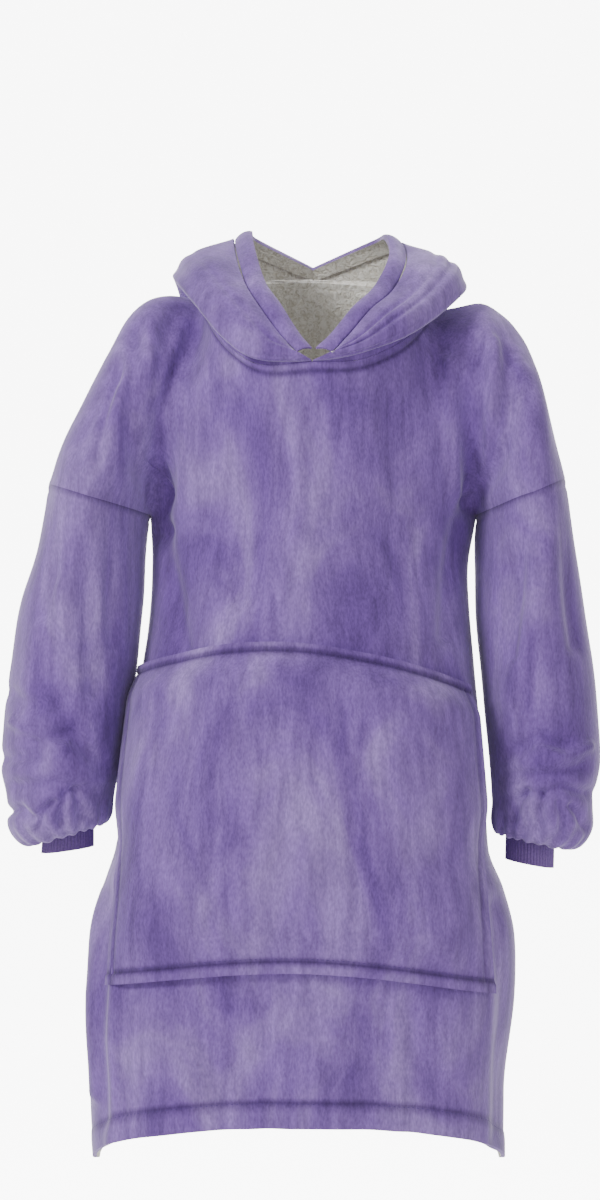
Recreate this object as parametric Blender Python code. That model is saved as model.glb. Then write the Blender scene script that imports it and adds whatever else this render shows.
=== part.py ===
"""Wearable blanket hoodie, worn with the hood down and the arms hanging.

Metres, +Z up, front towards -Y, origin between the shoulders. Left means -X, the left of a viewer in front.
Every cloth piece is a wall: a grid of outer points, and the same grid moved inwards by the cloth's thickness.
"""

import math

import bpy
import numpy as np

MM = 0.001

# Driving dimensions
WALL = 4.5 * MM  # plush and sherpa sewn back to back
BAND_WALL = 6.0 * MM  # the hood's edge, folded double
HOOD_WALL = 3.2 * MM  # the hood's cloth, pressed together where it rolls over
CUFF_WALL = 2.6 * MM
CORNER_WIDTH, CORNER_CALM = 220 * MM, 60 * MM  # half a panel's width; folds fade out this near an underarm
HALF_GAP = 0.15 * MM  # each side of a seam
SIDE_Y = 10 * MM  # the side and shoulder seams lie in this plane
NECK_SHARE = 0.58  # share of a panel's width that the neckline takes at its top
CHEST_ROUND, HEM_SQUARE = 1.75, 2.7  # exponents of the body's outline at underarm and hem
UNDERARM_Z, HIP_Z = -220 * MM, -620 * MM
HEM_CENTRE_Z, HEM_SIDE_Z, HEM_BACK_Z = -818 * MM, -876 * MM, -862 * MM
HEM_BAND, HEM_RAISED = 24 * MM, 1.2 * MM  # the turned hem's height, and how far it stands out
POCKET_SIDE_MOUTH = -555 * MM  # the pocket's side openings end at this height
POCKET_ROOM, POCKET_LAY = 15 * MM, 2.0 * MM  # how far it stands off the front, and where it lies on it
POCKET_RIDGE, POCKET_HEM, POCKET_RAISED = 8 * MM, 12 * MM, 1.5 * MM  # its sewn ridge, its hem, how far both rise
BAND_SWELL = 2 * MM
RIBS, RIB_HEIGHT, CUFF_INSET = 30, 0.9 * MM, 0.8 * MM
SHOULDER_SLOPE = 0.28  # share of a panel's fall that starts at once at its top
SLEEVE_THINNING = 0.4  # share of the cloth's thickness that the gathers at the cuff press out
HOOD_CLEAR = 0.7 * MM  # keeps the hood's halves off each other and off the panels
BAND_CLEAR = 0.8 * MM
HOOD_LIFT = 5 * MM  # how far the hood's underside is held up off the shoulders and back
HOOD_STAND = 8 * MM  # the flat strip between the neck seam and the hood's roll

# Grid sizes, in cells
NECK_CELLS = 14
SHOULDER_CELLS = 7
UPPER_ROWS = 10
LOWER_ROWS = 15
SLEEVE_STEPS = 2  # rows between two sections of a sleeve
HOOD_ROWS = 12
BAND_ROWS = 3
HOOD_STRIP = 1 / 12  # the strip takes one row of the hood
POCKET_COLUMNS, POCKET_ROWS = 18, 9

COLOURS = {
    "plush": (0.19, 0.125, 0.38, 1),
    "rib": (0.17, 0.10, 0.29, 1),
}


def table(names, rows):
    """Named columns in metres from rows written in millimetres."""
    return dict(zip(names.split(), np.array(rows, float).T * MM))


# The body's outline below the underarms, at each height
BODY = table(
    "z left right front back",
    [
        (-220, -153, 180, 128, 112),
        (-265, -151, 172, 138, 122),
        (-312, -153, 173, 146, 130),
        (-372, -160, 178, 154, 138),
        (-432, -168, 183, 161, 146),
        (-474, -174, 186, 165, 152),
        (-510, -179, 188, 168, 156),
        (-562, -188, 192, 171, 160),
        (-598, -201, 207, 173, 164),
        (-640, -210, 217, 175, 168),
        (-690, -216, 219, 176, 172),
        (-740, -217, 215, 176, 173),
        (-800, -214, 208, 175, 172),
        (-880, -209, 208, 172, 168),
    ],
)

# The shoulder line, from the outer end of the armhole to the side of the neck
SHOULDER_COLUMNS = "x z"
SHOULDER_LEFT = table(
    SHOULDER_COLUMNS,
    [(-256, -187), (-233, -129), (-194, -50), (-177, -19), (-157, -1), (-137, 5), (-117, 4), (-97, 0)],
)
SHOULDER_RIGHT = table(
    SHOULDER_COLUMNS,
    [(270, -181), (255, -120), (236, -55), (221, -28), (206, -13), (186, -2), (160, -6), (131, -12)],
)

# The hood from the front of the neck to the back: where it is sewn on, its outer roll, the band's groove, its edge
HOOD_COLUMNS = "seam_x seam_y seam_z roll_x roll_y roll_z groove_x groove_y groove_z edge_x edge_y edge_z"
HOOD_LEFT = table(
    HOOD_COLUMNS,
    [
        (12, -118, -72, 3, -126, -66, -4, -123, -63, 11, -121, -59),
        (-39, -111, -74, -40, -126, -61, -20, -115, -44, -1, -109, -43),
        (-70, -92, -54, -66, -113, -38, -39, -97, -16, -20, -91, -12),
        (-89, -62, -26, -95, -85, -4, -54, -68, 10, -35, -64, 12),
        (-97, 10, 0, -120, -20, 25, -64, -22, 40, -46, -22, 48),
        (-80, 62, 16, -128, 74, 26, -68, 40, 66, -50, 38, 74),
        (-42, 86, 24, -96, 172, -70, -60, 112, 64, -46, 104, 74),
        (14, 92, 26, 14, 212, -205, 14, 160, 36, 14, 150, 48),
    ],
)
HOOD_RIGHT = table(
    HOOD_COLUMNS,
    [
        (12, -118, -72, 25, -126, -66, 32, -123, -63, 16, -121, -59),
        (55, -111, -70, 63, -126, -56, 47, -115, -46, 31, -109, -43),
        (88, -92, -57, 98, -113, -38, 70, -97, -19, 53, -91, -15),
        (112, -62, -39, 130, -85, -16, 92, -68, 2, 75, -64, 8),
        (131, 10, -12, 165, -20, 16, 108, -22, 36, 91, -22, 43),
        (110, 62, 12, 160, 74, 20, 106, 40, 62, 89, 38, 70),
        (70, 86, 22, 124, 172, -70, 92, 112, 62, 77, 104, 72),
        (14, 92, 26, 14, 212, -205, 14, 160, 36, 14, 150, 48),
    ],
)
NECK_SIDE = 4  # the row of the hood's tables at the side of the neck
NECK_BACK = 7

# Sleeve sections from the armhole to the top of the cuff: outer and inner end of each ring
SLEEVE_COLUMNS = "outer_x outer_z inner_x inner_z depth y"
SLEEVE_LEFT = table(
    SLEEVE_COLUMNS,
    [
        (-256, -187, -153, -220, 94, 10),
        (-267, -250, -158, -266, 94, 8),
        (-284, -306, -160, -314, 92, 5),
        (-295, -372, -167, -374, 88, 0),
        (-301, -432, -175, -432, 84, -6),
        (-303, -474, -181, -474, 80, -12),
        (-297, -506, -186, -494, 74, -16),
        (-296, -536, -188, -508, 64, -18),
        (-282, -553, -191, -524, 51, -20),
        (-268, -552, -199, -531, 39, -20),
        (-261, -530, -208, -518, 28, -20),
    ],
)
SLEEVE_RIGHT = table(
    SLEEVE_COLUMNS,
    [
        (270, -181, 180, -220, 94, 10),
        (281, -250, 179, -266, 94, 8),
        (289, -306, 179, -314, 92, 5),
        (298, -372, 184, -374, 88, 0),
        (304, -432, 189, -432, 84, -6),
        (304, -471, 192, -474, 80, -12),
        (297, -506, 194, -498, 74, -16),
        (297, -536, 195, -513, 64, -18),
        (284, -555, 195, -531, 51, -20),
        (269, -556, 200, -541, 39, -20),
        (259, -536, 208, -528, 28, -20),
    ],
)
CUFF_COLUMNS = "outer_x outer_z inner_x inner_z depth y"
CUFF_LEFT = table(CUFF_COLUMNS, [(-261, -530, -208, -518, 28, -20), (-263, -562, -208, -555, 29, -21)])
CUFF_RIGHT = table(CUFF_COLUMNS, [(259, -536, 208, -528, 28, -20), (258, -577, 207, -568, 29, -21)])

# The pocket's corners on the front
POCKET = table("top_x top_z bottom_x bottom_z", [(-157, -374, -189, -686), (0, -348, 0, -667), (164, -392, 187, -693)])

# Folds seen from the front: start, middle and end, how deep a trough (a ridge is negative) and how wide
FOLD_COLUMNS = "x0 z0 x1 z1 x2 z2 deep wide"
FRONT_FOLDS = table(
    FOLD_COLUMNS,
    [
        (-168, -33, -165, -130, -154, -205, 9, 13),
        (-127, -14, -146, -100, -146, -235, 10, 14),
        (-94, -10, -124, -100, -140, -200, 8, 12),
        (-197, -82, -215, -130, -224, -180, 8, 14),
        (-148, -60, -155, -120, -152, -190, -5, 12),
        (178, -52, 173, -120, 174, -205, 9, 13),
        (213, -38, 205, -130, 182, -210, 11, 15),
        (236, -78, 243, -130, 246, -170, -6, 13),
        (-120, -300, -110, -450, -125, -620, 4, 26),
        (60, -250, 40, -400, 70, -600, 4, 30),
        (-190, -600, -196, -700, -192, -820, 5, 10),
        (-60, -700, -75, -760, -70, -840, 5, 24),
        (70, -705, 80, -770, 60, -850, 5, 22),
        (150, -700, 160, -780, 150, -850, -4, 22),
        (-140, -705, -130, -770, -140, -850, -4, 20),
    ],
)
BACK_FOLDS = table(
    FOLD_COLUMNS,
    [
        (-170, -40, -165, -130, -150, -210, 9, 14),
        (185, -50, 178, -120, 172, -208, 9, 14),
        (-205, -90, -210, -130, -220, -175, 7, 14),
        (228, -80, 236, -130, 244, -170, 7, 14),
        (-110, -290, -90, -430, -110, -600, 8, 26),
        (20, -330, 10, -520, 30, -800, 7, 30),
        (120, -280, 100, -420, 120, -580, 8, 26),
        (-130, -640, -150, -740, -140, -850, 7, 24),
        (140, -630, 150, -740, 130, -850, 7, 24),
    ],
)
SLEEVE_FOLDS_LEFT = table(
    FOLD_COLUMNS,
    [
        (-212, -245, -210, -320, -203, -395, 7, 12),
        (-264, -446, -226, -438, -192, -476, 8, 9),
        (-297, -466, -278, -462, -262, -462, 6, 7),
        (-285, -492, -240, -488, -200, -500, 6, 8),
        (-240, -300, -262, -350, -270, -400, -5, 14),
    ],
)
SLEEVE_FOLDS_RIGHT = table(
    FOLD_COLUMNS,
    [
        (241, -245, 232, -310, 206, -404, -6, 13),
        (190, -470, 235, -444, 266, -452, 8, 9),
        (201, -481, 245, -481, 282, -473, 7, 8),
        (199, -505, 215, -504, 236, -497, 5, 7),
        (215, -260, 205, -320, 200, -370, 6, 12),
    ],
)


def through(t, values):
    """Smooth curve through evenly numbered values: a cubic between each two, its slopes set by the neighbours."""
    values = np.asarray(values, float)
    slope = np.gradient(values, axis=0)
    t = np.clip(np.asarray(t, float), 0, len(values) - 1)
    i = np.minimum(t.astype(int), len(values) - 2)
    f = (t - i).reshape(t.shape + (1,) * (values.ndim - 1))
    start = (1 + 2 * f) * (1 - f) ** 2 * values[i] + f * (1 - f) ** 2 * slope[i]
    return start + f**2 * (3 - 2 * f) * values[i + 1] + f**2 * (f - 1) * slope[i + 1]


def at_height(z, column):
    """A column of the body's table at any height, smooth between its rows."""
    row = np.interp(-z, -BODY["z"], np.arange(len(BODY["z"])))
    return through(row, BODY[column])


def smooth(t):
    """0 below 0, 1 above 1 and an even rise between."""
    t = np.clip(t, 0, 1)
    return t * t * (3 - 2 * t)


def columns(source, *names):
    """The named columns side by side, as points."""
    return np.stack([source[name] for name in names], axis=-1)


def unit(v):
    """The same directions at length 1."""
    return v / np.maximum(np.linalg.norm(v, axis=-1, keepdims=True), 1e-12)


# The form of the body


def hem_height(s, back=False):
    """The hem's height: highest at the centre, drooping to the side seams."""
    centre = HEM_BACK_Z if back else HEM_CENTRE_Z
    return centre + (HEM_SIDE_Z - centre) * np.abs(s) ** 2.2


def body_y(x, z, back=False):
    """The body's depth at a place: a rounded oblong, more square towards the hem."""
    left, right = at_height(z, "left"), at_height(z, "right")
    reach = np.clip(np.abs(x - (left + right) / 2) / ((right - left) / 2), 0, 1)
    n = CHEST_ROUND + (HEM_SQUARE - CHEST_ROUND) * smooth((UNDERARM_Z - z) / (UNDERARM_Z - HIP_Z))
    depth = at_height(z, "back" if back else "front")
    swell = (1 - reach**n) ** (1 / n)
    return SIDE_Y + (depth if back else -depth) * swell


def lower_point(s, z, back=False):
    """The body's surface at share s of its width, -1 at the left seam and 1 at the right, and height z."""
    left, right = at_height(z, "left"), at_height(z, "right")
    x = (left + right) / 2 + (right - left) / 2 * np.sin(s * math.pi / 2)
    return np.stack(np.broadcast_arrays(x, body_y(x, z, back), z), axis=-1)


def neckline(q, side):
    """Where the hood is sewn on: q runs from 0 at the front to NECK_BACK at the back, on one side."""
    hood = HOOD_LEFT if side < 0 else HOOD_RIGHT
    return through(q, columns(hood, "seam_x", "seam_y", "seam_z"))


def shoulder(t, side):
    """The shoulder line from the armhole, t = 0, to the neck, t = 1."""
    line = columns(SHOULDER_LEFT if side < 0 else SHOULDER_RIGHT, "x", "z")
    steps = np.r_[0, np.cumsum(np.linalg.norm(np.diff(line, axis=0), axis=1))]
    xz = through(np.interp(t, steps / steps[-1], np.arange(len(line))), line)
    return np.stack([xz[:, 0], np.full(len(xz), SIDE_Y), xz[:, 1]], axis=-1)


def panel_top(s, back=False):
    """A panel's upper edge: left shoulder, neckline, right shoulder."""
    end = NECK_BACK if back else 0
    points = np.empty((len(s), 3))
    for side in (-1, 1):
        mine = s * side >= 0
        reach = np.abs(s[mine])
        on_neck = reach <= NECK_SHARE + 1e-9
        q = end + (NECK_SIDE - end) * np.minimum(reach / NECK_SHARE, 1)
        t = (1 - reach) / (1 - NECK_SHARE)
        points[mine] = np.where(on_neck[:, None], neckline(q, side), shoulder(np.clip(t, 0, 1), side))
    return points


def ring(section, theta, pointed=0.5):
    """A sleeve's ring, once round from its outer end by the front: an oval, pointed at its inner end where asked."""
    outer_x, outer_z, inner_x, inner_z, depth, y = section
    c = -np.cos(theta)
    swell = np.sqrt(1 + c) * (1 - c + 1e-12) ** pointed
    x = (outer_x + inner_x) / 2 + (inner_x - outer_x) / 2 * c
    z = (outer_z + inner_z) / 2 + (inner_z - outer_z) / 2 * c
    return np.stack([x, y - np.sign(np.sin(theta) + 1e-12) * depth * swell, z], axis=-1)


def armhole(t, side, back=False):
    """Half of the armhole seam, from its outer end, t = 0, to the underarm, t = 1."""
    first = [column[0] for column in (SLEEVE_LEFT if side < 0 else SLEEVE_RIGHT).values()]
    half = ring(first, np.asarray(t) * math.pi, 0.75)
    half[:, 1] = np.where(back, 2 * SIDE_Y - half[:, 1], half[:, 1])
    return half


def arm_axis(side):
    """The sleeve's direction at the armhole, square to the seam, pointing down the arm."""
    sleeve = SLEEVE_LEFT if side < 0 else SLEEVE_RIGHT
    across = np.array([sleeve["inner_x"][0] - sleeve["outer_x"][0], 0, sleeve["inner_z"][0] - sleeve["outer_z"][0]])
    return unit(np.array([across[2], 0, -across[0]]) * (1 if across[0] > 0 else -1))


def upper_grid(s, t, back=False):
    """A panel above the underarms: columns that round off the shoulders, led into the armholes at both sides."""
    top = panel_top(s, back)[None]
    bottom = lower_point(s, np.full(len(s), UNDERARM_Z), back)[None]
    angle = (t * math.pi / 2)[:, None, None]
    fall = (1 - SHOULDER_SLOPE) * (1 - np.cos(angle)) + SHOULDER_SLOPE * t[:, None, None]
    share = np.concatenate([np.sin(angle), np.sin(angle), fall], axis=-1)
    grid = top + (bottom - top) * share
    for side in (-1, 1):
        edge = 0 if side < 0 else -1
        weight = 1 - smooth((1 - side * s) / 0.6)
        grid = grid + weight[None, :, None] * (armhole(t, side, back) - grid[:, edge])[:, None]
    return grid


def fold_depth(x, z, folds):
    """How far folds push the cloth in at a place: for each, a soft trough along its two-piece line."""
    total = np.zeros(np.broadcast(x, z).shape)
    for x0, z0, x1, z1, x2, z2, deep, wide in zip(*folds.values()):
        near = np.full(total.shape, np.inf)
        for ax, az, bx, bz in ((x0, z0, x1, z1), (x1, z1, x2, z2)):
            along = ((x - ax) * (bx - ax) + (z - az) * (bz - az)) / ((bx - ax) ** 2 + (bz - az) ** 2)
            along = np.clip(along, 0, 1)
            near = np.minimum(near, np.hypot(x - ax - along * (bx - ax), z - az - along * (bz - az)))
        total += deep * np.exp(-((near / wide) ** 2))
    return total


def normals(grid, closed=False):
    """Unit normals of a grid of points, rows by columns."""
    if closed:
        wide = np.concatenate([grid[:, -1:], grid, grid[:, :1]], axis=1)
        across = np.gradient(wide, axis=1)[:, 1:-1]
    else:
        across = np.gradient(grid, axis=1)
    return unit(np.cross(across, np.gradient(grid, axis=0)))


def seam_normals(n, edge, crossing):
    """Normals along a seam, square to it and to the direction that crosses it, so that both pieces agree."""
    square = unit(np.cross(np.gradient(edge, axis=0), crossing))
    return square * np.sign(np.sum(square * n, axis=-1, keepdims=True))


# From grids to solids


def wall(name, outer, inner, closed=False, slot="plush"):
    """A closed solid between two grids of the same size: two skins and the strips along their edges."""
    rows, cols = outer.shape[:2]
    index = np.arange(rows * cols).reshape(rows, cols)
    if closed:
        index = np.concatenate([index, index[:, :1]], axis=1)
    a, b, c, d = index[:-1, :-1], index[:-1, 1:], index[1:, 1:], index[1:, :-1]
    skin = np.stack([a, b, c, d], axis=-1).reshape(-1, 4)
    inside = rows * cols
    faces = [skin, skin[:, ::-1] + inside]
    rims = [index[0, ::-1], index[-1]]
    if not closed:
        rims += [index[:, 0], index[::-1, -1]]
    for rim in rims:
        faces.append(np.stack([rim[:-1], rim[1:], rim[1:] + inside, rim[:-1] + inside], axis=-1))
    points = np.concatenate([outer.reshape(-1, 3), inner.reshape(-1, 3)])
    faces = np.concatenate(faces)
    facing = np.cross(points[skin[:, 2]] - points[skin[:, 0]], points[skin[:, 3]] - points[skin[:, 1]])
    if np.sum(facing * (points[skin[:, 0]] - points[skin[:, 0] + inside])) < 0:
        faces = faces[:, ::-1]
    solid = bpy.data.meshes.new(name)
    solid.from_pydata(points.tolist(), [], faces.tolist())
    solid.update()
    solid.shade_smooth()
    solid.set_sharp_from_angle(angle=math.radians(50))
    made = bpy.data.objects.new(name, solid)
    bpy.context.scene.collection.objects.link(made)
    solid.materials.append(material(slot))
    return made


def material(slot):
    """One material for each kind of cloth."""
    found = bpy.data.materials.get(slot)
    if found:
        return found
    found = bpy.data.materials.new(slot)
    found.use_nodes = True
    shader = found.node_tree.nodes["Principled BSDF"]
    shader.inputs["Base Color"].default_value = COLOURS[slot]
    shader.inputs["Roughness"].default_value = 0.9
    shader.inputs["Metallic"].default_value = 0.0
    return found


def neck_steps():
    """Even steps over one half of the neckline, as shares of a panel's half width."""
    return np.linspace(0, NECK_SHARE, NECK_CELLS // 2 + 1)


def panel_steps():
    """The columns of a panel, from its left seam to its right one."""
    half = np.r_[neck_steps(), np.linspace(NECK_SHARE, 1, SHOULDER_CELLS + 1)[1:]]
    return np.r_[-half[:0:-1], half]


def lower_rows(back=False):
    """Heights of a panel's lower rows at each column, closing up at the hem's raised band."""
    s = panel_steps()
    hem = hem_height(s, back)
    steps = np.linspace(0, 1, LOWER_ROWS - 1)[1:, None]
    body = UNDERARM_Z + (hem + HEM_BAND - UNDERARM_Z) * steps
    return s, np.concatenate([body, [hem + HEM_BAND - 2 * MM], [hem]])


def build_panel(name, folds, back=False):
    """The front or back: shoulders and chest, then the body down to the turned hem."""
    s, lower = lower_rows(back)
    t = np.linspace(0, 1, UPPER_ROWS + 1)
    grid = np.concatenate([upper_grid(s, t, back), lower_point(np.broadcast_to(s, lower.shape), lower, back)])
    n = normals(grid) * (1 if back else -1)
    ends = smooth((1 - np.abs(s)) / 0.14)[None] * smooth(np.arange(len(grid)) / 3.0)[:, None]
    ends = ends * smooth(np.hypot((1 - np.abs(s)) * CORNER_WIDTH, grid[..., 2] - UNDERARM_Z) / CORNER_CALM)
    grid = grid - n * (fold_depth(grid[..., 0], grid[..., 2], folds) * ends)[..., None]
    grid[-2:] += n[-2:] * HEM_RAISED * smooth((1 - np.abs(s)) / 0.14)[None, :, None]
    n = normals(grid) * (1 if back else -1)
    apart = HALF_GAP * (1 if back else -1)
    across = np.array([0.0, 1.0, 0.0])
    neck = np.abs(s) <= NECK_SHARE + 1e-9
    n[0, ~neck] = seam_normals(n[0], grid[0], across)[~neck]
    away = grid[0, neck] - np.array([14, 0, 0]) * MM
    n[0, neck] = seam_normals(away, grid[0, neck], np.array([0.0, 0.0, 1.0]))
    beside = np.abs(s) >= NECK_SHARE - 1e-9
    grid[0, beside] += across * apart
    grid[0, neck, 2] -= HALF_GAP
    for side, edge in ((-1, 0), (1, -1)):
        axis = arm_axis(side)
        top, rest = slice(0, UPPER_ROWS + 1), slice(UPPER_ROWS + 1, None)
        n[top, edge] = seam_normals(n[top, edge], grid[top, edge], axis)
        n[rest, edge] = seam_normals(n[rest, edge], grid[rest, edge], across)
        n[UPPER_ROWS, edge] = (0, 0, -1)
        grid[top, edge] -= axis * HALF_GAP
        grid[:, edge] += across * apart
    n[0, beside, 1] = 0
    n[0, beside] = unit(n[0, beside])
    return wall(name, grid, grid - n * WALL)


def build_sleeve(name, sleeve, folds, side):
    """A sleeve: rings from the armhole down to a puff that turns up under into the cuff."""
    sections = columns(sleeve, *SLEEVE_COLUMNS.split())
    rows = np.linspace(0, len(sections) - 1, (len(sections) - 1) * SLEEVE_STEPS + 1)
    theta = np.linspace(0, 2 * math.pi, 2 * UPPER_ROWS + 1)[:-1]
    shapes = through(rows, sections)
    point = 0.5 + 0.25 * (1 - smooth(rows / 3))
    grid = np.stack([ring(shape, theta, p) for shape, p in zip(shapes, point)])
    n = normals(grid, closed=True) * side
    calm = smooth(rows / 2)[:, None] * smooth((len(sections) - 1 - rows) / 3)[:, None]
    calm = calm * smooth((1 + np.cos(theta)) / 0.5)[None]
    grid = grid - n * (fold_depth(grid[..., 0], grid[..., 2], folds) * calm)[..., None]
    n = normals(grid, closed=True) * side
    looped = np.concatenate([grid[0, -1:], grid[0], grid[0, :1]])
    axis = arm_axis(side)
    turned = unit(np.cross(np.gradient(looped, axis=0)[1:-1], axis))
    n[0] = turned * np.sign(np.sum(turned * n[0], axis=-1, keepdims=True))
    grid[0] += axis * HALF_GAP
    thick = WALL * (1 - SLEEVE_THINNING * smooth((rows - len(sections) + 5) / 3))
    return wall(name, grid, grid - n * thick[:, None, None], closed=True)


def build_cuff(name, cuff, side):
    """A cuff: a short tube with raised ribs over a plain inside."""
    sections = columns(cuff, *CUFF_COLUMNS.split())
    theta = np.linspace(0, 2 * math.pi, 3 * RIBS + 1)[:-1]
    grid = np.stack([ring(section, theta) for section in sections])
    n = normals(grid, closed=True) * side
    rib = np.where(np.arange(3 * RIBS) % 3 == 0, 0.0, RIB_HEIGHT)[None, :, None]
    plain = grid - n * (CUFF_INSET + RIB_HEIGHT)
    return wall(name, plain + n * rib, plain - n * CUFF_WALL, closed=True, slot="rib")


# The hood


def hood_point(q, v, side):
    """The hood's surface: q runs round the neck; v from the neck seam, up a narrow strip, then round the roll as
    half a blunt oval to the band's groove."""
    hood = HOOD_LEFT if side < 0 else HOOD_RIGHT
    seam = through(q, columns(hood, "seam_x", "seam_y", "seam_z"))
    roll = through(q, columns(hood, "roll_x", "roll_y", "roll_z"))
    groove = through(q, columns(hood, "groove_x", "groove_y", "groove_z"))
    tall = HOOD_STAND * smooth(q / 1.5) * (1 - 0.6 * smooth((q - 3) / 2))
    away = unit((seam - np.array([14, 0, 0]) * MM) * np.array([1.0, 1.0, 0.0]))
    back = 0.8 * smooth((q - 3) / 1.5)[:, None]
    start = seam + tall[:, None] * (away * back + np.array([0.0, 0.0, 1.0]) * (1 - back))
    if v < HOOD_STRIP:
        return seam + (start - seam) * v / HOOD_STRIP
    turn = math.pi * (v - HOOD_STRIP) / (1 - HOOD_STRIP)
    along = math.copysign(abs(math.cos(turn)) ** 0.75, math.cos(turn))
    middle = (start + groove) / 2
    lift = HOOD_LIFT * smooth(q - 3)[:, None] * max(math.sin(2 * turn), 0) * np.array([0.0, 0.0, 1.0])
    return middle - along * (groove - start) / 2 + max(math.sin(turn), 0) ** 0.9 * (roll - middle) + lift


def groove_normals(q, side):
    """Normals along the groove, square to it and to the band, facing away from the neck: the hood's and the band's."""
    hood = HOOD_LEFT if side < 0 else HOOD_RIGHT
    groove = through(q, columns(hood, "groove_x", "groove_y", "groove_z"))
    band = unit(through(q, columns(hood, "edge_x", "edge_y", "edge_z")) - groove)
    away = groove - np.array([14, 0, -60]) * MM
    return seam_normals(away, groove, band), band


def band_point(q, v, side):
    """The band's surface, from the groove, v = 0, to the hood's edge, v = 1, a little rounded."""
    hood = HOOD_LEFT if side < 0 else HOOD_RIGHT
    groove = through(q, columns(hood, "groove_x", "groove_y", "groove_z"))
    edge = through(q, columns(hood, "edge_x", "edge_y", "edge_z"))
    swell = np.array([0, -0.5, 0.8]) * BAND_SWELL * math.sin(math.pi * v)
    return groove + (edge - groove) * v + swell


def hood_steps():
    """The hood's columns: those of the front neckline, then those of the back one."""
    front = neck_steps() / NECK_SHARE * NECK_SIDE
    rest = NECK_BACK + (NECK_SIDE - NECK_BACK) * neck_steps()[::-1] / NECK_SHARE
    return np.r_[front, rest[1:]]


def outward(grid, hollow):
    """Normals of a grid, all turned to the side that faces away from the points of its hollow."""
    n = normals(grid)
    return n * np.sign(np.sum(n * (grid - hollow)))


def thinning(q):
    """The hood's and the band's share of their thickness: they taper to the point where both sides meet in front."""
    return 0.35 + 0.65 * smooth(q / 1.2)


def build_hood(name, side):
    """One half of the hood, from the neck seam to the band, closed at the back by the centre seam."""
    q = hood_steps()
    grid = np.stack([hood_point(q, v, side) for v in np.linspace(0, 1, HOOD_ROWS + 1)])
    n = outward(grid, (grid[:1] + grid[-1:]) / 2)
    n[:, -1] = seam_normals(n[:, -1], grid[:, -1], np.array([1.0, 0.0, 0.0]))
    n[0] = seam_normals(grid[0] - np.array([14, 0, 0]) * MM, grid[0], np.array([0.0, 0.0, 1.0]))
    n[-1] = groove_normals(q, side)[0]
    grid[..., 2] += HOOD_CLEAR
    grid[..., 0] += side * HOOD_CLEAR
    pressed = 1 - 0.45 * np.sin(np.linspace(0, math.pi, len(grid)))[:, None] ** 4
    thick = HOOD_WALL * pressed * thinning(q)
    return wall(name, grid, grid - n * thick[..., None])


def build_band(name):
    """The folded band round the hood's opening, in one length from one side of the front to the other."""
    q = hood_steps()
    rows = []
    for v in np.linspace(0, 1, BAND_ROWS + 1):
        rows.append(np.concatenate([band_point(q, v, -1), band_point(q[-2::-1], v, 1)]))
    grid = np.stack(rows)
    first, band_left = groove_normals(q, -1)
    second, band_right = groove_normals(q, 1)
    n = normals(grid)
    n *= np.sign(np.sum(n[0, : len(q)] * first))
    n[0] = np.concatenate([first, second[-2::-1]])
    grid += np.concatenate([band_left, band_right[-2::-1]]) * BAND_CLEAR
    grid[..., 2] += BAND_CLEAR
    thin = np.r_[thinning(q), thinning(q)[-2::-1]]
    return wall(name, grid, grid - n * (BAND_WALL * thin)[None, :, None])


# The pocket


def share_at(x, z):
    """The share of the body's width at a place, the inverse of the spacing in lower_point."""
    left, right = at_height(z, "left"), at_height(z, "right")
    return np.arcsin(np.clip((x - (left + right) / 2) / ((right - left) / 2), -1, 1)) * 2 / math.pi


def front_surface(s, z):
    """The front with its folds, at any share and height below the underarms, and its normals."""
    grid = lower_point(s, z)
    n = -normals(grid)
    ends = smooth((1 - np.abs(s)) / 0.14)
    return grid - n * (fold_depth(grid[..., 0], grid[..., 2], FRONT_FOLDS) * ends)[..., None], n


def build_pocket(name):
    """The pocket: the front's own points moved out, sewn above, below and low at the sides, open at the hands."""
    p = np.linspace(-1, 1, POCKET_COLUMNS + 1)
    top, bottom = through(p + 1, POCKET["top_z"]), through(p + 1, POCKET["bottom_z"])
    middle = np.linspace(top - POCKET_RIDGE, bottom + POCKET_HEM, POCKET_ROWS + 1)
    z = np.concatenate([[top, top - POCKET_RIDGE + 2 * MM], middle, [bottom + POCKET_HEM - 2 * MM, bottom]])
    down = (top - z) / (top - bottom)
    x_left = POCKET["top_x"][0] + (POCKET["bottom_x"][0] - POCKET["top_x"][0]) * down[:, :1]
    x_right = POCKET["top_x"][2] + (POCKET["bottom_x"][2] - POCKET["top_x"][2]) * down[:, -1:]
    s_left, s_right = share_at(x_left, z[:, :1]), share_at(x_right, z[:, -1:])
    s = s_left + (s_right - s_left) * (p + 1) / 2
    base, n = front_surface(s, z)
    mouth = smooth((z - POCKET_SIDE_MOUTH) / 0.05) * 0.55
    across = mouth + (1 - mouth) * smooth((1 - np.abs(p)) / 0.35)
    room = POCKET_ROOM * across * smooth(down / 0.12) * smooth((1 - down) / 0.2)
    raised = np.zeros(z.shape)
    raised[:2] = raised[-2:] = POCKET_RAISED
    lay = POCKET_LAY + WALL
    outer = base + n * (lay + room + raised)[..., None]
    inner = base + n * (POCKET_LAY + room)[..., None]
    return wall(name, outer, inner)


def build_all():
    """Every piece of the garment."""
    build_panel("front", FRONT_FOLDS)
    build_panel("back", BACK_FOLDS, back=True)
    build_sleeve("sleeve_left", SLEEVE_LEFT, SLEEVE_FOLDS_LEFT, -1)
    build_sleeve("sleeve_right", SLEEVE_RIGHT, SLEEVE_FOLDS_RIGHT, 1)
    build_cuff("cuff_left", CUFF_LEFT, -1)
    build_cuff("cuff_right", CUFF_RIGHT, 1)
    build_hood("hood_left", -1)
    build_hood("hood_right", 1)
    build_band("hood_band")
    build_pocket("pocket")


for old in list(bpy.data.objects):
    bpy.data.objects.remove(old, do_unlink=True)
build_all()
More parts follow.
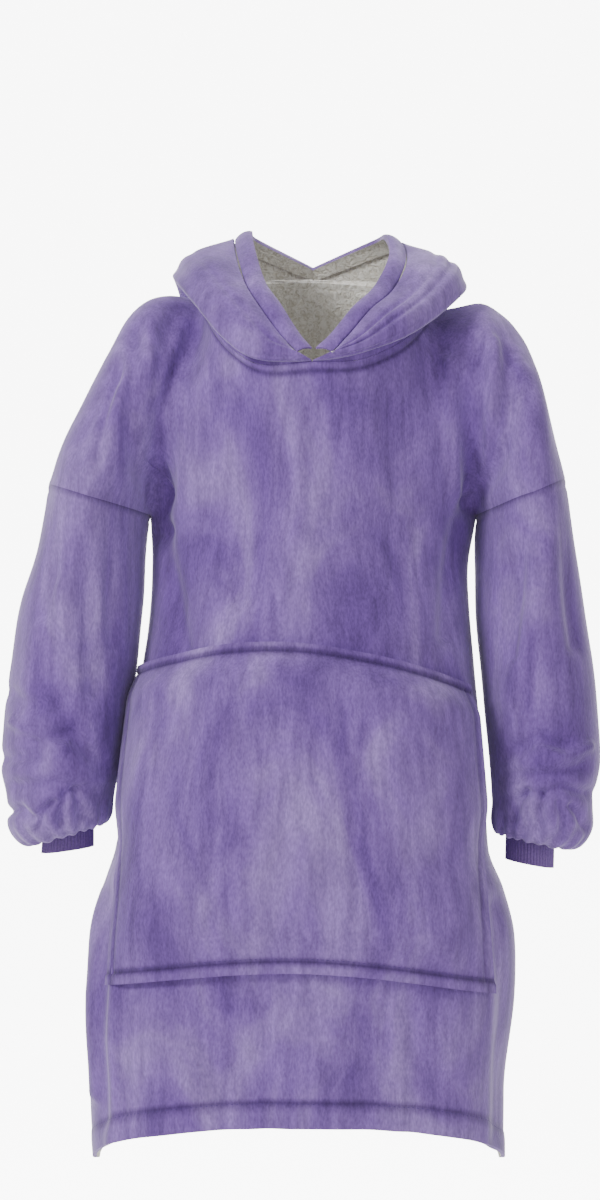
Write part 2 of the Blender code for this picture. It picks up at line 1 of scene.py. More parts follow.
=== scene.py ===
# %% [markdown]
# A wearable blanket hoodie in plush, worn with its hood down and nobody in it.
# The solids hold its true form. This script repeats their sizes and form functions on finer grids, adds the
# finer creases, seams, ribs and stitches, and gives each surface its material.
# Metres, +Z up, front towards -Y, left is -X.

import math

import bpy
import numpy as np
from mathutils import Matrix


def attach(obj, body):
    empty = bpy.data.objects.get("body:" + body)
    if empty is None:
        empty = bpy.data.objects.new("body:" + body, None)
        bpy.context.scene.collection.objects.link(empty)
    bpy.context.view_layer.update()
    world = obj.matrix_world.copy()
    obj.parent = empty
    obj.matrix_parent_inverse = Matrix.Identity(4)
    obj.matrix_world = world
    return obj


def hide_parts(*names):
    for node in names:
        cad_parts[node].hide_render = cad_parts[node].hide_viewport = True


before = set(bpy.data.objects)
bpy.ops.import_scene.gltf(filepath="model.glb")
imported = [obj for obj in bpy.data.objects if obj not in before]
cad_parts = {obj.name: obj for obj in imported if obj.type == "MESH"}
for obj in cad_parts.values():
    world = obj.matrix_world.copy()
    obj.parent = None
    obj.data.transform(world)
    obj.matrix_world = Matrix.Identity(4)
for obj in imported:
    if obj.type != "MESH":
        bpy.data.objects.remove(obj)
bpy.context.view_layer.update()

# %% [markdown]
# The driving sizes are those of the solids. Only the grids are finer here.

# %% Sizes
MM = 0.001
WALL = 4.5 * MM  # plush and sherpa sewn back to back
BAND_WALL = 6.0 * MM  # the hood's edge, folded double
HOOD_WALL = 3.2 * MM  # the hood's cloth, pressed together where it rolls over
CUFF_WALL = 2.6 * MM
# Half a panel's width, and how near an underarm its folds fade out
CORNER_WIDTH, CORNER_CALM = 220 * MM, 60 * MM
HALF_GAP = 0.15 * MM  # each side of a seam
SIDE_Y = 10 * MM  # the side and shoulder seams lie in this plane
NECK_SHARE = 0.58  # share of a panel's width that the neckline takes at its top
CHEST_ROUND, HEM_SQUARE = 1.75, 2.7  # exponents of the body's outline at underarm and hem
UNDERARM_Z, HIP_Z = -220 * MM, -620 * MM
HEM_CENTRE_Z, HEM_SIDE_Z, HEM_BACK_Z = -818 * MM, -876 * MM, -862 * MM
HEM_BAND, HEM_RAISED = 24 * MM, 1.2 * MM  # the turned hem's height, and how far it stands out
POCKET_SIDE_MOUTH = -555 * MM  # the pocket's side openings end at this height
POCKET_ROOM, POCKET_LAY = 15 * MM, 2.0 * MM  # how far it stands off the front, and where it lies on it
# The pocket's sewn ridge, its hem, and how far both rise
POCKET_RIDGE, POCKET_HEM, POCKET_RAISED = 8 * MM, 12 * MM, 1.5 * MM
BAND_SWELL = 2 * MM
RIBS, RIB_HEIGHT, CUFF_INSET = 46, 0.9 * MM, 0.8 * MM
SHOULDER_SLOPE = 0.28  # share of a panel's fall that starts at once at its top
SLEEVE_THINNING = 0.4  # share of the cloth's thickness that the gathers at the cuff press out
HOOD_CLEAR = 0.7 * MM  # keeps the hood's halves off each other and off the panels
BAND_CLEAR = 0.8 * MM
HOOD_LIFT = 5 * MM  # how far the hood's underside is held up off the shoulders and back
HOOD_STAND = 8 * MM  # the flat strip between the neck seam and the hood's roll

# The grids, in cells
NECK_CELLS, SHOULDER_CELLS = 76, 38
UPPER_ROWS, LOWER_ROWS = 64, 118
SLEEVE_STEPS = 15
HOOD_ROWS, BAND_ROWS = 72, 12
HOOD_STRIP = 1 / 12
POCKET_COLUMNS, POCKET_ROWS = 130, 110
RIB_POINTS, CUFF_ROWS = 6, 10

# What only the scene has
NECK_STITCH, NECK_RAISED = 9 * MM, 0.6 * MM  # the neckline's row of stitches, and the cloth above it
STEP, GROOVE, GROOVE_REACH = 2 * MM, 0.9 * MM, 2.2 * MM  # a band's edge is this wide, its groove this deep and wide
SHADOW_REACH = 3.5 * MM  # how far the painted shade of a stitch line goes into the pile
FINE_DEPTH = 2.2  # the finer folds' depth, as a share of the tables' figures
SEAM_LAP = 0.8 * MM  # cloth overlaps at the armholes, so no light comes through
SEAM_FADE = 0.14  # share of half a panel's width over which its folds fade out at the side seams
TOP_FADE = 20  # rows over which they fade out below the shoulder seams
NECK_MIDDLE = np.array([14, 0, 0]) * MM
SECTION_STEP = 60 * MM  # about the distance between two of a sleeve's sections
PLEAT_DEPTH, PLEATS_START = 1.1 * MM, 6.2  # the sleeves' fine pleats, and the section where they begin
TUFT, TUFT_WAVES = 1.3 * MM, 900  # the lining's tufts: half their height, and their waves in a metre
PUFF = 1.6 * MM  # how full the hood's band is
STITCH_PITCH, STITCH_LENGTH, STITCH_RADIUS = 5 * MM, 3.2 * MM, 0.35 * MM
POCKET_SIDE = 190 * MM  # half the pocket's width


def table(names, rows):
    """Named columns in metres from rows written in millimetres."""
    return dict(zip(names.split(), np.array(rows, float).T * MM))


# The body's outline below the underarms, at each height
BODY = table(
    "z left right front back",
    [
        (-220, -153, 180, 128, 112),
        (-265, -151, 172, 138, 122),
        (-312, -153, 173, 146, 130),
        (-372, -160, 178, 154, 138),
        (-432, -168, 183, 161, 146),
        (-474, -174, 186, 165, 152),
        (-510, -179, 188, 168, 156),
        (-562, -188, 192, 171, 160),
        (-598, -201, 207, 173, 164),
        (-640, -210, 217, 175, 168),
        (-690, -216, 219, 176, 172),
        (-740, -217, 215, 176, 173),
        (-800, -214, 208, 175, 172),
        (-880, -209, 208, 172, 168),
    ],
)

# The shoulder line, from the outer end of the armhole to the side of the neck
SHOULDER_COLUMNS = "x z"
SHOULDER_LEFT = table(
    SHOULDER_COLUMNS,
    [(-256, -187), (-233, -129), (-194, -50), (-177, -19), (-157, -1), (-137, 5), (-117, 4), (-97, 0)],
)
SHOULDER_RIGHT = table(
    SHOULDER_COLUMNS,
    [(270, -181), (255, -120), (236, -55), (221, -28), (206, -13), (186, -2), (160, -6), (131, -12)],
)

# The hood from the front of the neck to the back: where it is sewn on, its outer roll, the band's groove, its edge
HOOD_COLUMNS = "seam_x seam_y seam_z roll_x roll_y roll_z groove_x groove_y groove_z edge_x edge_y edge_z"
HOOD_LEFT = table(
    HOOD_COLUMNS,
    [
        (12, -118, -72, 3, -126, -66, -4, -123, -63, 11, -121, -59),
        (-39, -111, -74, -40, -126, -61, -20, -115, -44, -1, -109, -43),
        (-70, -92, -54, -66, -113, -38, -39, -97, -16, -20, -91, -12),
        (-89, -62, -26, -95, -85, -4, -54, -68, 10, -35, -64, 12),
        (-97, 10, 0, -120, -20, 25, -64, -22, 40, -46, -22, 48),
        (-80, 62, 16, -128, 74, 26, -68, 40, 66, -50, 38, 74),
        (-42, 86, 24, -96, 172, -70, -60, 112, 64, -46, 104, 74),
        (14, 92, 26, 14, 212, -205, 14, 160, 36, 14, 150, 48),
    ],
)
HOOD_RIGHT = table(
    HOOD_COLUMNS,
    [
        (12, -118, -72, 25, -126, -66, 32, -123, -63, 16, -121, -59),
        (55, -111, -70, 63, -126, -56, 47, -115, -46, 31, -109, -43),
        (88, -92, -57, 98, -113, -38, 70, -97, -19, 53, -91, -15),
        (112, -62, -39, 130, -85, -16, 92, -68, 2, 75, -64, 8),
        (131, 10, -12, 165, -20, 16, 108, -22, 36, 91, -22, 43),
        (110, 62, 12, 160, 74, 20, 106, 40, 62, 89, 38, 70),
        (70, 86, 22, 124, 172, -70, 92, 112, 62, 77, 104, 72),
        (14, 92, 26, 14, 212, -205, 14, 160, 36, 14, 150, 48),
    ],
)
NECK_SIDE = 4  # the row of the hood's tables at the side of the neck
NECK_BACK = 7

# Sleeve sections from the armhole to the top of the cuff: outer and inner end of each ring
SLEEVE_COLUMNS = "outer_x outer_z inner_x inner_z depth y"
SLEEVE_LEFT = table(
    SLEEVE_COLUMNS,
    [
        (-256, -187, -153, -220, 94, 10),
        (-267, -250, -158, -266, 94, 8),
        (-284, -306, -160, -314, 92, 5),
        (-295, -372, -167, -374, 88, 0),
        (-301, -432, -175, -432, 84, -6),
        (-303, -474, -181, -474, 80, -12),
        (-297, -506, -186, -494, 74, -16),
        (-296, -536, -188, -508, 64, -18),
        (-282, -553, -191, -524, 51, -20),
        (-268, -552, -199, -531, 39, -20),
        (-261, -530, -208, -518, 28, -20),
    ],
)
SLEEVE_RIGHT = table(
    SLEEVE_COLUMNS,
    [
        (270, -181, 180, -220, 94, 10),
        (281, -250, 179, -266, 94, 8),
        (289, -306, 179, -314, 92, 5),
        (298, -372, 184, -374, 88, 0),
        (304, -432, 189, -432, 84, -6),
        (304, -471, 192, -474, 80, -12),
        (297, -506, 194, -498, 74, -16),
        (297, -536, 195, -513, 64, -18),
        (284, -555, 195, -531, 51, -20),
        (269, -556, 200, -541, 39, -20),
        (259, -536, 208, -528, 28, -20),
    ],
)
CUFF_COLUMNS = "outer_x outer_z inner_x inner_z depth y"
CUFF_LEFT = table(CUFF_COLUMNS, [(-261, -530, -208, -518, 28, -20), (-263, -562, -208, -555, 29, -21)])
CUFF_RIGHT = table(CUFF_COLUMNS, [(259, -536, 208, -528, 28, -20), (258, -577, 207, -568, 29, -21)])

# The pocket's corners on the front
POCKET = table("top_x top_z bottom_x bottom_z", [(-157, -374, -189, -686), (0, -348, 0, -667), (164, -392, 187, -693)])

# Folds seen from the front: start, middle and end, how deep a trough (a ridge is negative) and how wide
FOLD_COLUMNS = "x0 z0 x1 z1 x2 z2 deep wide"
FRONT_FOLDS = table(
    FOLD_COLUMNS,
    [
        (-168, -33, -165, -130, -154, -205, 9, 13),
        (-127, -14, -146, -100, -146, -235, 10, 14),
        (-94, -10, -124, -100, -140, -200, 8, 12),
        (-197, -82, -215, -130, -224, -180, 8, 14),
        (-148, -60, -155, -120, -152, -190, -5, 12),
        (178, -52, 173, -120, 174, -205, 9, 13),
        (213, -38, 205, -130, 182, -210, 11, 15),
        (236, -78, 243, -130, 246, -170, -6, 13),
        (-120, -300, -110, -450, -125, -620, 4, 26),
        (60, -250, 40, -400, 70, -600, 4, 30),
        (-190, -600, -196, -700, -192, -820, 5, 10),
        (-60, -700, -75, -760, -70, -840, 5, 24),
        (70, -705, 80, -770, 60, -850, 5, 22),
        (150, -700, 160, -780, 150, -850, -4, 22),
        (-140, -705, -130, -770, -140, -850, -4, 20),
    ],
)
BACK_FOLDS = table(
    FOLD_COLUMNS,
    [
        (-170, -40, -165, -130, -150, -210, 9, 14),
        (185, -50, 178, -120, 172, -208, 9, 14),
        (-205, -90, -210, -130, -220, -175, 7, 14),
        (228, -80, 236, -130, 244, -170, 7, 14),
        (-110, -290, -90, -430, -110, -600, 8, 26),
        (20, -330, 10, -520, 30, -800, 7, 30),
        (120, -280, 100, -420, 120, -580, 8, 26),
        (-130, -640, -150, -740, -140, -850, 7, 24),
        (140, -630, 150, -740, 130, -850, 7, 24),
    ],
)
SLEEVE_FOLDS_LEFT = table(
    FOLD_COLUMNS,
    [
        (-212, -245, -210, -320, -203, -395, 7, 12),
        (-264, -446, -226, -438, -192, -476, 8, 9),
        (-297, -466, -278, -462, -262, -462, 6, 7),
        (-285, -492, -240, -488, -200, -500, 6, 8),
        (-240, -300, -262, -350, -270, -400, -5, 14),
    ],
)
SLEEVE_FOLDS_RIGHT = table(
    FOLD_COLUMNS,
    [
        (241, -245, 232, -310, 206, -404, -6, 13),
        (190, -470, 235, -444, 266, -452, 8, 9),
        (201, -481, 245, -481, 282, -473, 7, 8),
        (199, -505, 215, -504, 236, -497, 5, 7),
        (215, -260, 205, -320, 200, -370, 6, 12),
    ],
)


def through(t, values):
    """Smooth curve through evenly numbered values: a cubic between each two, its slopes set by the neighbours."""
    values = np.asarray(values, float)
    slope = np.gradient(values, axis=0)
    t = np.clip(np.asarray(t, float), 0, len(values) - 1)
    i = np.minimum(t.astype(int), len(values) - 2)
    f = (t - i).reshape(t.shape + (1,) * (values.ndim - 1))
    start = (1 + 2 * f) * (1 - f) ** 2 * values[i] + f * (1 - f) ** 2 * slope[i]
    return start + f**2 * (3 - 2 * f) * values[i + 1] + f**2 * (f - 1) * slope[i + 1]


def at_height(z, column):
    """A column of the body's table at any height, smooth between its rows."""
    row = np.interp(-z, -BODY["z"], np.arange(len(BODY["z"])))
    return through(row, BODY[column])


def smooth(t):
    """0 below 0, 1 above 1 and an even rise between."""
    t = np.clip(t, 0, 1)
    return t * t * (3 - 2 * t)


def columns(source, *names):
    """The named columns side by side, as points."""
    return np.stack([source[name] for name in names], axis=-1)


def unit(v):
    """The same directions at length 1."""
    return v / np.maximum(np.linalg.norm(v, axis=-1, keepdims=True), 1e-12)


# The form of the body


def hem_height(s, back=False):
    """The hem's height: highest at the centre, drooping to the side seams."""
    centre = HEM_BACK_Z if back else HEM_CENTRE_Z
    return centre + (HEM_SIDE_Z - centre) * np.abs(s) ** 2.2


def body_y(x, z, back=False):
    """The body's depth at a place: a rounded oblong, more square towards the hem."""
    left, right = at_height(z, "left"), at_height(z, "right")
    reach = np.clip(np.abs(x - (left + right) / 2) / ((right - left) / 2), 0, 1)
    n = CHEST_ROUND + (HEM_SQUARE - CHEST_ROUND) * smooth((UNDERARM_Z - z) / (UNDERARM_Z - HIP_Z))
    depth = at_height(z, "back" if back else "front")
    swell = (1 - reach**n) ** (1 / n)
    return SIDE_Y + (depth if back else -depth) * swell


def lower_point(s, z, back=False):
    """The body's surface at share s of its width, -1 at the left seam and 1 at the right, and height z."""
    left, right = at_height(z, "left"), at_height(z, "right")
    x = (left + right) / 2 + (right - left) / 2 * np.sin(s * math.pi / 2)
    return np.stack(np.broadcast_arrays(x, body_y(x, z, back), z), axis=-1)


def neckline(q, side):
    """Where the hood is sewn on: q runs from 0 at the front to NECK_BACK at the back, on one side."""
    hood = HOOD_LEFT if side < 0 else HOOD_RIGHT
    return through(q, columns(hood, "seam_x", "seam_y", "seam_z"))


def shoulder(t, side):
    """The shoulder line from the armhole, t = 0, to the neck, t = 1."""
    line = columns(SHOULDER_LEFT if side < 0 else SHOULDER_RIGHT, "x", "z")
    steps = np.r_[0, np.cumsum(np.linalg.norm(np.diff(line, axis=0), axis=1))]
    xz = through(np.interp(t, steps / steps[-1], np.arange(len(line))), line)
    return np.stack([xz[:, 0], np.full(len(xz), SIDE_Y), xz[:, 1]], axis=-1)


def panel_top(s, back=False):
    """A panel's upper edge: left shoulder, neckline, right shoulder."""
    end = NECK_BACK if back else 0
    points = np.empty((len(s), 3))
    for side in (-1, 1):
        mine = s * side >= 0
        reach = np.abs(s[mine])
        on_neck = reach <= NECK_SHARE + 1e-9
        q = end + (NECK_SIDE - end) * np.minimum(reach / NECK_SHARE, 1)
        t = (1 - reach) / (1 - NECK_SHARE)
        points[mine] = np.where(on_neck[:, None], neckline(q, side), shoulder(np.clip(t, 0, 1), side))
    return points


def ring(section, theta, pointed=0.5):
    """A sleeve's ring, once round from its outer end by the front: an oval, pointed at its inner end where asked."""
    outer_x, outer_z, inner_x, inner_z, depth, y = section
    c = -np.cos(theta)
    swell = np.sqrt(1 + c) * (1 - c + 1e-12) ** pointed
    x = (outer_x + inner_x) / 2 + (inner_x - outer_x) / 2 * c
    z = (outer_z + inner_z) / 2 + (inner_z - outer_z) / 2 * c
    return np.stack([x, y - np.sign(np.sin(theta) + 1e-12) * depth * swell, z], axis=-1)


def armhole(t, side, back=False):
    """Half of the armhole seam, from its outer end, t = 0, to the underarm, t = 1."""
    first = [column[0] for column in (SLEEVE_LEFT if side < 0 else SLEEVE_RIGHT).values()]
    half = ring(first, np.asarray(t) * math.pi, 0.75)
    half[:, 1] = np.where(back, 2 * SIDE_Y - half[:, 1], half[:, 1])
    return half


def arm_axis(side):
    """The sleeve's direction at the armhole, square to the seam, pointing down the arm."""
    sleeve = SLEEVE_LEFT if side < 0 else SLEEVE_RIGHT
    across = np.array([sleeve["inner_x"][0] - sleeve["outer_x"][0], 0, sleeve["inner_z"][0] - sleeve["outer_z"][0]])
    return unit(np.array([across[2], 0, -across[0]]) * (1 if across[0] > 0 else -1))


def upper_grid(s, t, back=False):
    """A panel above the underarms: columns that round off the shoulders, led into the armholes at both sides."""
    top = panel_top(s, back)[None]
    bottom = lower_point(s, np.full(len(s), UNDERARM_Z), back)[None]
    angle = (t * math.pi / 2)[:, None, None]
    fall = (1 - SHOULDER_SLOPE) * (1 - np.cos(angle)) + SHOULDER_SLOPE * t[:, None, None]
    share = np.concatenate([np.sin(angle), np.sin(angle), fall], axis=-1)
    grid = top + (bottom - top) * share
    for side in (-1, 1):
        edge = 0 if side < 0 else -1
        weight = 1 - smooth((1 - side * s) / 0.6)
        grid = grid + weight[None, :, None] * (armhole(t, side, back) - grid[:, edge])[:, None]
    return grid


def fold_depth(x, z, folds):
    """How far folds push the cloth in at a place: for each, a soft trough along its two-piece line."""
    total = np.zeros(np.broadcast(x, z).shape)
    for x0, z0, x1, z1, x2, z2, deep, wide in zip(*folds.values()):
        near = np.full(total.shape, np.inf)
        for ax, az, bx, bz in ((x0, z0, x1, z1), (x1, z1, x2, z2)):
            along = ((x - ax) * (bx - ax) + (z - az) * (bz - az)) / ((bx - ax) ** 2 + (bz - az) ** 2)
            along = np.clip(along, 0, 1)
            near = np.minimum(near, np.hypot(x - ax - along * (bx - ax), z - az - along * (bz - az)))
        total += deep * np.exp(-((near / wide) ** 2))
    return total


def normals(grid, closed=False):
    """Unit normals of a grid of points, rows by columns."""
    if closed:
        wide = np.concatenate([grid[:, -1:], grid, grid[:, :1]], axis=1)
        across = np.gradient(wide, axis=1)[:, 1:-1]
    else:
        across = np.gradient(grid, axis=1)
    return unit(np.cross(across, np.gradient(grid, axis=0)))


def seam_normals(n, edge, crossing):
    """Normals along a seam, square to it and to the direction that crosses it, so that both pieces agree."""
    square = unit(np.cross(np.gradient(edge, axis=0), crossing))
    return square * np.sign(np.sum(square * n, axis=-1, keepdims=True))


# %% [markdown]
# Folds too fine for the solids: each is one more trough or ridge along its own short line, uneven in length,
# depth and spacing, and like ones lie at the back and on the sleeves.

# %% Finer folds
FRONT_FINE = table(
    FOLD_COLUMNS,
    [
        (-108, -30, -138, -120, -148, -215, 3, 6),
        (-185, -70, -196, -120, -200, -170, 3, 7),
        (-140, -235, -128, -300, -120, -350, 3, 10),
        (160, -230, 150, -280, 146, -340, 3, 10),
        (196, -45, 190, -130, 178, -200, -3, 7),
        (150, -70, 152, -130, 160, -200, -3, 9),
        (-60, -110, -66, -190, -60, -300, 1.8, 16),
        (20, -120, 30, -220, 16, -330, 1.6, 18),
        (92, -110, 100, -200, 92, -320, 1.8, 16),
        (-204, -600, -208, -700, -204, -800, -3, 6),
        (-180, -640, -186, -740, -182, -860, -3, 8),
        (196, -610, 204, -700, 198, -840, 3, 9),
        (-100, -740, -60, -752, -10, -742, 1.5, 12),
        (40, -770, 90, -760, 140, -775, 1.5, 12),
        (-30, -700, -38, -750, -30, -820, 2, 14),
        (110, -705, 118, -760, 108, -850, 2.4, 13),
    ],
)
BACK_FINE = table(
    FOLD_COLUMNS,
    [
        (-120, -40, -136, -110, -142, -210, 4, 8),
        (150, -50, 160, -120, 164, -210, 4, 8),
        (-60, -280, -40, -380, -56, -520, 3, 15),
        (80, -300, 66, -400, 84, -540, 3, 14),
        (-170, -560, -184, -680, -180, -840, 4, 13),
        (180, -560, 190, -690, 184, -850, 4, 13),
        (-60, -560, -70, -680, -50, -840, 3, 16),
        (70, -600, 84, -700, 74, -850, 3, 15),
    ],
)
SLEEVE_FINE_LEFT = table(
    FOLD_COLUMNS,
    [
        (-190, -240, -188, -290, -184, -350, 3, 7),
        (-236, -200, -246, -260, -250, -320, 3, 9),
        (-290, -400, -262, -412, -240, -408, 2.5, 8),
        (-286, -428, -262, -440, -236, -452, -2.5, 6),
        (-296, -520, -280, -514, -268, -524, 3, 5),
        (-262, -536, -256, -516, -246, -508, 3, 5),
        (-238, -530, -236, -512, -232, -500, 3, 5),
        (-216, -522, -218, -508, -222, -496, 3, 5),
    ],
)
SLEEVE_FINE_RIGHT = table(
    FOLD_COLUMNS,
    [
        (222, -230, 216, -300, 212, -360, 3, 8),
        (262, -220, 268, -280, 276, -350, 3, 9),
        (288, -452, 260, -460, 236, -452, -2.5, 6),
        (290, -500, 262, -492, 240, -500, 3, 6),
        (212, -524, 216, -508, 222, -496, 3, 5),
        (236, -536, 238, -516, 242, -504, 3, 5),
        (262, -542, 262, -522, 258, -508, 3, 5),
        (286, -534, 280, -520, 272, -512, 3, 5),
    ],
)


def both(first, second):
    """Two tables of folds as one, the finer ones deepened."""
    shares = {name: FINE_DEPTH if name == "deep" else 1 for name in first}
    return {name: np.concatenate([first[name], second[name] * shares[name]]) for name in first}


def unevenness(grid):
    """Small unevenness of a thick pile: the sum of three slanted waves of unlike lengths, about a millimetre high."""
    x, y, z = np.moveaxis(grid, -1, 0)
    bent = np.sin(31 * x + 17 * z + 2 * np.sin(23 * y))
    return 0.35 * MM * (bent + np.sin(19 * x - 43 * z + 11 * y) + np.sin(67 * z + 29 * x))


def curls(grid):
    """Curly sherpa: rounded tufts a few millimetres across, the product of one bent wave along each axis."""
    x, y, z = np.moveaxis(grid, -1, 0)
    u = TUFT_WAVES * x + 2 * np.sin(310 * y) + 2 * np.sin(270 * z)
    v = TUFT_WAVES * y + 2 * np.sin(330 * z) + 2 * np.sin(290 * x)
    w = TUFT_WAVES * z + 2 * np.sin(350 * x) + 2 * np.sin(250 * y)
    return TUFT * (1 + np.sin(u) * np.sin(v + 1) * np.sin(w + 2))


# %% [markdown]
# The plush has a soft nap: brushed patches are paler, drawn out down the cloth, and its pile gives a pale sheen
# at the edges. The lining is cream curly pile. The cuffs are a duller knit.
# Every pattern lies on the object's own coordinates. The `shade` attribute darkens the plush at its stitch lines:
# painted shade, standing for the shade in their grooves.

# %% Materials
PLUSH_DARK, PLUSH_MID, PLUSH_PALE = (0.12, 0.06, 0.25, 1), (0.18, 0.1, 0.34, 1), (0.26, 0.17, 0.43, 1)
RIB_COLOUR, THREAD_COLOUR = (0.21, 0.125, 0.36, 1), (0.08, 0.04, 0.21, 1)
SHERPA_LOW, SHERPA_HIGH = (0.62, 0.58, 0.5, 1), (0.92, 0.9, 0.85, 1)
# SEAM_SHADOW is the colour of the painted shade along the plush's stitch lines
WHITE, SEAM_SHADOW = (1, 1, 1, 1), (0.3, 0.26, 0.34, 1)
PLUSH_SHEEN, KNIT_SHEEN = (0.86, 0.78, 1, 1), (0.75, 0.65, 1, 1)
PALE = (0.9, 0.9, 0.9, 1)


def principled(name, rough, sheen=0.0, sheen_rough=0.4, tint=WHITE):
    """A new material with its shader's plain values set."""
    made = bpy.data.materials.new(name)
    made.use_nodes = True
    shader = made.node_tree.nodes["Principled BSDF"]
    shader.inputs["Roughness"].default_value = rough
    shader.inputs["Sheen Weight"].default_value = sheen
    shader.inputs["Sheen Roughness"].default_value = sheen_rough
    shader.inputs["Sheen Tint"].default_value = tint
    shader.inputs["Specular IOR Level"].default_value = 0.15
    return made, shader


def noise(tree, scale, stretch=(1, 1, 1), detail=3.0, distortion=0.0):
    """Noise on the object's own coordinates, stretched along its axes."""
    coords = tree.nodes.new("ShaderNodeTexCoord")
    mapping = tree.nodes.new("ShaderNodeMapping")
    mapping.inputs["Scale"].default_value = stretch
    made = tree.nodes.new("ShaderNodeTexNoise")
    made.inputs["Scale"].default_value = scale
    made.inputs["Detail"].default_value = detail
    made.inputs["Distortion"].default_value = distortion
    tree.links.new(coords.outputs["Object"], mapping.inputs["Vector"])
    tree.links.new(mapping.outputs["Vector"], made.inputs["Vector"])
    return made.outputs["Fac"]


def grey(value):
    """A grey; 0.5 leaves a colour as it is where the two are overlaid."""
    return (value, value, value, 1)


def ramp(tree, fac, *stops):
    """Colours by value, each stop a place from 0 to 1 and its colour."""
    made = tree.nodes.new("ShaderNodeValToRGB")
    for i, (place, colour) in enumerate(stops):
        stop = made.color_ramp.elements[i] if i < 2 else made.color_ramp.elements.new(place)
        stop.position = place
        stop.color = colour
    tree.links.new(fac, made.inputs["Fac"])
    return made.outputs["Color"]


def mixed(tree, kind, share, a, b):
    """Two colours mixed; sockets 6 and 7 and output 2 of the node are those for colours."""
    made = tree.nodes.new("ShaderNodeMix")
    made.data_type = "RGBA"
    made.blend_type = kind
    made.inputs["Factor"].default_value = share
    tree.links.new(a, made.inputs[6])
    tree.links.new(b, made.inputs[7])
    return made.outputs[2]


def bumped(tree, shader, *heights):
    """Bumps on the shader, each a value, its strength and its depth in metres."""
    last = None
    for value, strength, depth in heights:
        made = tree.nodes.new("ShaderNodeBump")
        made.inputs["Strength"].default_value = strength
        made.inputs["Distance"].default_value = depth
        tree.links.new(value, made.inputs["Height"])
        if last:
            tree.links.new(last, made.inputs["Normal"])
        last = made.outputs["Normal"]
    tree.links.new(last, shader.inputs["Normal"])


def plush_material():
    """Purple plush with brushed patches, a fine pile and painted shade along its stitch lines."""
    made, shader = principled("plush", 0.85, 0.55, 0.45, PLUSH_SHEEN)
    tree = made.node_tree
    brushed = noise(tree, 8.0, (1.6, 1.6, 0.8), 4.0, 0.8)
    streaks = noise(tree, 60.0, (1.6, 1.6, 0.25), 3.0, 0.4)
    pile = noise(tree, 520.0, (1, 1, 0.4), 2.0)
    base = ramp(tree, brushed, (0.32, PLUSH_DARK), (0.7, PLUSH_PALE), (0.5, PLUSH_MID))
    fine = ramp(tree, streaks, (0.3, grey(0.36)), (0.7, grey(0.66)))
    grain = ramp(tree, pile, (0.3, grey(0.38)), (0.7, grey(0.64)))
    colour = mixed(tree, "OVERLAY", 0.75, mixed(tree, "OVERLAY", 0.7, base, fine), grain)
    # Painted shade: the `shade` attribute darkens the plush towards SEAM_SHADOW along its stitch lines
    shade = tree.nodes.new("ShaderNodeAttribute")
    shade.attribute_name = "shade"
    sunk = ramp(tree, shade.outputs["Fac"], (0.0, WHITE), (1.0, SEAM_SHADOW))
    colour = mixed(tree, "MULTIPLY", 1.0, colour, sunk)
    tree.links.new(colour, shader.inputs["Base Color"])
    bumped(tree, shader, (pile, 0.5, 0.0008), (streaks, 0.35, 0.0012), (brushed, 0.2, 0.004))
    return made


def sherpa_material():
    """Cream curly lining."""
    made, shader = principled("sherpa", 0.95, 0.4, 0.6)
    tree = made.node_tree
    tufts = noise(tree, 210.0, distortion=1.2)
    colour = ramp(tree, tufts, (0.32, SHERPA_LOW), (0.6, SHERPA_HIGH))
    tree.links.new(colour, shader.inputs["Base Color"])
    bumped(tree, shader, (tufts, 0.9, 0.003))
    return made


def plain_material(name, colour):
    """One colour with a fine grain, for the cuffs and the thread."""
    made, shader = principled(name, 0.8, 0.25, 0.5, KNIT_SHEEN)
    tree = made.node_tree
    grain = noise(tree, 600.0, detail=2.0)
    darker = tuple(0.7 * c for c in colour[:3]) + (1,)
    mottled = ramp(tree, grain, (0.3, darker), (0.7, colour))
    tree.links.new(mottled, shader.inputs["Base Color"])
    bumped(tree, shader, (grain, 0.3, 0.0005))
    return made


PLUSH, SHERPA = plush_material(), sherpa_material()
RIB, THREAD = plain_material("rib", RIB_COLOUR), plain_material("thread", THREAD_COLOUR)
print("materials", [m.name for m in bpy.data.materials])

# %% [markdown]
# A piece of cloth is two skins of the same grid, the plush outside and the lining inside, joined along their edges.
# Its flat size is the rectangle given with it, printed beside its cloth area.

# %% From grids to cloth


def diagonals(points, quads):
    """The cross product of each quad's two diagonals: along its normal, and twice its area long."""
    a, b, c, d = points[quads.T]
    return np.cross(c - a, d - b)


